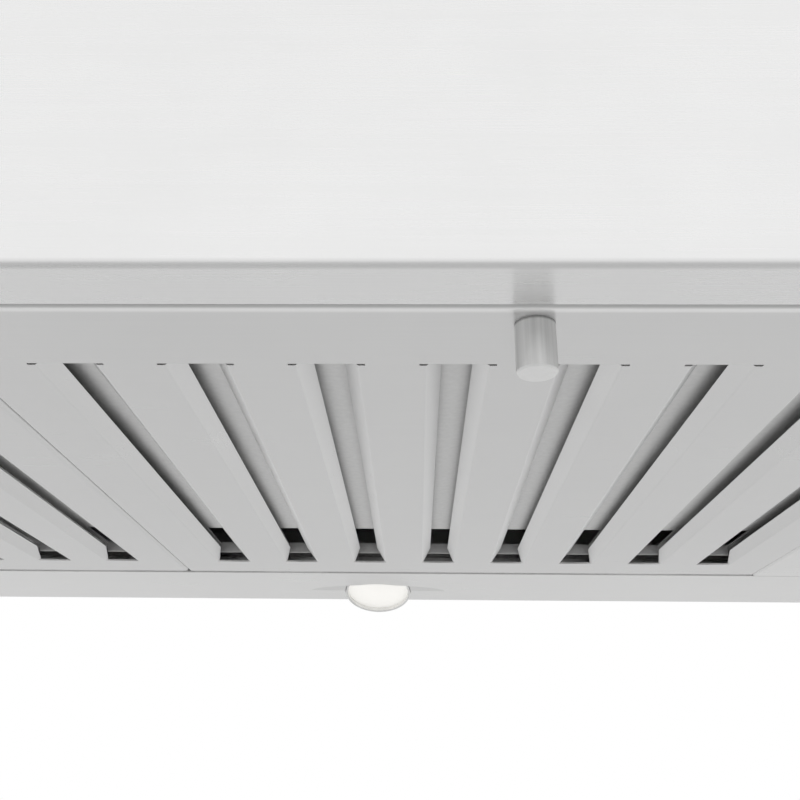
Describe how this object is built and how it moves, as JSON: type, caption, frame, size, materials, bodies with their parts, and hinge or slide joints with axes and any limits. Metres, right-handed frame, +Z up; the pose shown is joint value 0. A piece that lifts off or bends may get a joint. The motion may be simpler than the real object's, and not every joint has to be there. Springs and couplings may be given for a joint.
{
  "type": "under cabinet range hood",
  "caption": "Brushed steel under cabinet range hood with drop-down baffle filters, tilted lamps, twin blower, duct collar with back-draft flaps and push-button control.",
  "frame": {"origin": "centre of the four cabinet screw slots, on the roof face that meets the cabinet", "axes": "+X right as seen from the front, +Y towards the wall, +Z up"},
  "size_m": [1.216, 0.466, 0.329],
  "materials": {
    "body_steel": "brushed along the width, fine grain",
    "inner_steel": "mill finish",
    "baffle_steel": "satin, lightly brushed",
    "knob_steel": "turned and brushed",
    "screw_steel": "zinc plated",
    "spring_steel": "blued spring steel",
    "lamp_rim": "satin",
    "lamp_can": "die cast",
    "lamp_glass": "frosted diffuser",
    "led_board": "white solder mask",
    "circuit_board": "green solder mask",
    "bezel": "smooth black",
    "button_steel": "turned, fine circular grain",
    "black_plastic": "fine moulded grain",
    "galvanised": "galvanised, faint spangle",
    "motor_paint": "satin black",
    "shaft_steel": "ground",
    "flap_aluminium": "mill finish"
  },
  "bodies": {
    "hood": {"front_panel": "body_steel", "left_side_panel": "body_steel", "right_side_panel": "body_steel", "top_panel": "body_steel", "back_panel": "body_steel", "lamp_panel": "body_steel", "left_bottom_rail": "body_steel", "right_bottom_rail": "body_steel", "clip_rail": "inner_steel", "left_filter_divider": "inner_steel", "right_filter_divider": "inner_steel", "terminal_box": "inner_steel", "motor_bracket": "inner_steel", "damper_rod": "screw_steel", "left_filter_clips": "spring_steel", "centre_filter_clips": "spring_steel", "right_filter_clips": "spring_steel", "left_lamp_ring": "lamp_rim", "right_lamp_ring": "lamp_rim", "left_lamp_housing": "lamp_can", "right_lamp_housing": "lamp_can", "left_lamp_lens": "lamp_glass", "right_lamp_lens": "lamp_glass", "left_led_board": "led_board", "right_led_board": "led_board", "control_board": "circuit_board", "control_bezel": "bezel", "control_box": "black_plastic", "led_driver": "black_plastic", "exhaust_plenum": "galvanised", "left_scroll_housing": "galvanised", "right_scroll_housing": "galvanised", "duct_collar": "galvanised", "blower_motor": "motor_paint", "collar_rivets": "flap_aluminium"},
    "left_filter": {"left_filter_plate": "baffle_steel", "left_filter_channels": "baffle_steel", "left_filter_frame": "baffle_steel", "left_filter_knob": "knob_steel", "left_knob_screw": "screw_steel"},
    "centre_filter": {"centre_filter_plate": "baffle_steel", "centre_filter_channels": "baffle_steel", "centre_filter_frame": "baffle_steel", "centre_filter_knob": "knob_steel", "centre_knob_screw": "screw_steel"},
    "right_filter": {"right_filter_plate": "baffle_steel", "right_filter_channels": "baffle_steel", "right_filter_frame": "baffle_steel", "right_filter_knob": "knob_steel", "right_knob_screw": "screw_steel"},
    "blower_rotor": {"blower_shaft": "shaft_steel", "left_blower_wheel": "galvanised", "right_blower_wheel": "galvanised"},
    "front_damper": {"front_damper_flap": "flap_aluminium"},
    "rear_damper": {"rear_damper_flap": "flap_aluminium"},
    "fan_off_button": {"fan_off_button": "button_steel"},
    "fan_low_button": {"fan_low_button": "button_steel"},
    "fan_medium_button": {"fan_medium_button": "button_steel"},
    "fan_high_button": {"fan_high_button": "button_steel"},
    "light_button": {"light_button": "button_steel"}
  },
  "joints": [
    {"name": "left_filter_drop", "type": "hinge", "parent": "hood", "child": "left_filter", "pos_m": [-0.3505, 0.0625, -0.2525], "axis": [1, 0, 0], "range_deg": [0, 60], "deforming": ["left_filter_clips"]},
    {"name": "centre_filter_drop", "type": "hinge", "parent": "hood", "child": "centre_filter", "pos_m": [0, 0.0625, -0.2525], "axis": [1, 0, 0], "range_deg": [0, 60], "deforming": ["centre_filter_clips"]},
    {"name": "right_filter_drop", "type": "hinge", "parent": "hood", "child": "right_filter", "pos_m": [0.3505, 0.0625, -0.2525], "axis": [1, 0, 0], "range_deg": [0, 60], "deforming": ["right_filter_clips"]},
    {"name": "blower_spin", "type": "hinge", "parent": "hood", "child": "blower_rotor", "pos_m": [0, 0.01, -0.13], "axis": [1, 0, 0], "continuous": true},
    {"name": "front_damper_swing", "type": "hinge", "parent": "hood", "child": "front_damper", "pos_m": [0, 0, 0.024], "axis": [-1, 0, 0], "range_deg": [0, 75]},
    {"name": "rear_damper_swing", "type": "hinge", "parent": "hood", "child": "rear_damper", "pos_m": [0, 0, 0.024], "axis": [1, 0, 0], "range_deg": [0, 75]},
    {"name": "fan_off_button_press", "type": "slide", "parent": "hood", "child": "fan_off_button", "axis": [0, 1, 0], "range_m": [0, 0.002], "stiffness_N_per_m": 600},
    {"name": "fan_low_button_press", "type": "slide", "parent": "hood", "child": "fan_low_button", "axis": [0, 1, 0], "range_m": [0, 0.002], "stiffness_N_per_m": 600},
    {"name": "fan_medium_button_press", "type": "slide", "parent": "hood", "child": "fan_medium_button", "axis": [0, 1, 0], "range_m": [0, 0.002], "stiffness_N_per_m": 600},
    {"name": "fan_high_button_press", "type": "slide", "parent": "hood", "child": "fan_high_button", "axis": [0, 1, 0], "range_m": [0, 0.002], "stiffness_N_per_m": 600},
    {"name": "light_button_press", "type": "slide", "parent": "hood", "child": "light_button", "axis": [0, 1, 0], "range_m": [0, 0.002], "stiffness_N_per_m": 600}
  ]
}
